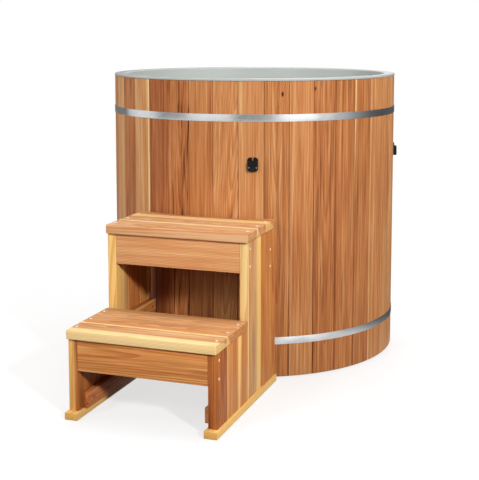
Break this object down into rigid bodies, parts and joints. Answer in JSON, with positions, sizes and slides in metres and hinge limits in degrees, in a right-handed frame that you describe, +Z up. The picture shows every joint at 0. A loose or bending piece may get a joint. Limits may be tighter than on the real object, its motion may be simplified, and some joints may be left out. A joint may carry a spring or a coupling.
{
  "type": "cold plunge tub",
  "caption": "Round cedar stave plunge tub with a moulded grey liner, steel hoops, lockable cover clips, a floor drain valve and a free-standing two-tread cedar step.",
  "frame": {"origin": "on the floor at the barrel's axis, under the centre bearer", "axes": "+Z up along the barrel's axis, -Y towards the step, +X to the right as one faces the step's front"},
  "size_m": [1.0744, 1.6848, 1.031],
  "materials": {
    "cedar": "satin",
    "pale_cedar": "satin",
    "liner_grey": "satin",
    "foam": "matte",
    "hoop_steel": "satin",
    "black_plastic": "satin",
    "lock_steel": "polished",
    "pipe_plastic": "satin"
  },
  "bodies": {
    "tub": {"stave_panel_01": "cedar", "stave_panel_02": "cedar", "stave_panel_03": "cedar", "stave_panel_04": "cedar", "stave_panel_05": "cedar", "stave_panel_06": "cedar", "stave_panel_07": "cedar", "stave_panel_08": "cedar", "stave_panel_09": "cedar", "stave_panel_10": "cedar", "stave_panel_11": "cedar", "stave_panel_12": "cedar", "stave_panel_13": "cedar", "stave_panel_14": "cedar", "stave_panel_15": "cedar", "stave_panel_16": "cedar", "stave_panel_17": "cedar", "stave_panel_18": "cedar", "stave_panel_19": "cedar", "floor_deck": "cedar", "bearer_front": "cedar", "bearer_centre": "cedar", "bearer_back": "cedar", "liner": "liner_grey", "insulation_jacket": "foam", "upper_hoop": "hoop_steel", "lower_hoop": "hoop_steel", "upper_hoop_clamp": "hoop_steel", "lower_hoop_clamp": "hoop_steel", "cover_clip_front": "black_plastic", "cover_clip_right": "black_plastic", "cover_clip_back": "black_plastic", "cover_clip_left": "black_plastic", "drain_fitting": "pipe_plastic", "drain_pipe": "pipe_plastic", "drain_valve_body": "pipe_plastic"},
    "step": {"step_lower_tread_front": "cedar", "step_lower_tread_middle": "cedar", "step_lower_tread_back": "cedar", "step_upper_tread_front": "cedar", "step_upper_tread_middle": "cedar", "step_upper_tread_back": "cedar", "step_left_tall_panel": "cedar", "step_left_short_panel": "cedar", "step_right_tall_panel": "cedar", "step_right_short_panel": "cedar", "step_left_foot_rail": "pale_cedar", "step_right_foot_rail": "pale_cedar", "step_left_low_cleat": "pale_cedar", "step_left_middle_cleat": "pale_cedar", "step_right_low_cleat": "pale_cedar", "step_right_middle_cleat": "pale_cedar", "step_lower_apron": "cedar", "step_upper_apron": "cedar", "step_back_rail": "cedar"},
    "valve_lever": {"drain_valve_lever": "black_plastic"},
    "lock_front": {"clip_lock_front": "lock_steel"},
    "lock_right": {"clip_lock_right": "lock_steel"},
    "lock_back": {"clip_lock_back": "lock_steel"},
    "lock_left": {"clip_lock_left": "lock_steel"}
  },
  "joints": [
    {"name": "step_slide", "type": "slide", "parent": "tub", "child": "step", "axis": [0, -1, 0], "range_m": [0, 0.4]},
    {"name": "valve_turn", "type": "hinge", "parent": "tub", "child": "valve_lever", "pos_m": [0, 0.572, 0.035], "axis": [0, 0, 1], "range_deg": [0, 90]},
    {"name": "lock_front_turn", "type": "hinge", "parent": "tub", "child": "lock_front", "pos_m": [0.17072, -0.51631, 0.7295], "axis": [0.3139, -0.9494, 0], "range_deg": [0, 90]},
    {"name": "lock_right_turn", "type": "hinge", "parent": "tub", "child": "lock_right", "pos_m": [0.52864, 0.12751, 0.7295], "axis": [0.9721, 0.2345, 0], "range_deg": [0, 90]},
    {"name": "lock_back_turn", "type": "hinge", "parent": "tub", "child": "lock_back", "pos_m": [-0.08342, 0.53736, 0.7295], "axis": [-0.1534, 0.9882, 0], "range_deg": [0, 90]},
    {"name": "lock_left_turn", "type": "hinge", "parent": "tub", "child": "lock_left", "pos_m": [-0.54242, -0.03876, 0.7295], "axis": [-0.9975, -0.0713, 0], "range_deg": [0, 90]}
  ]
}
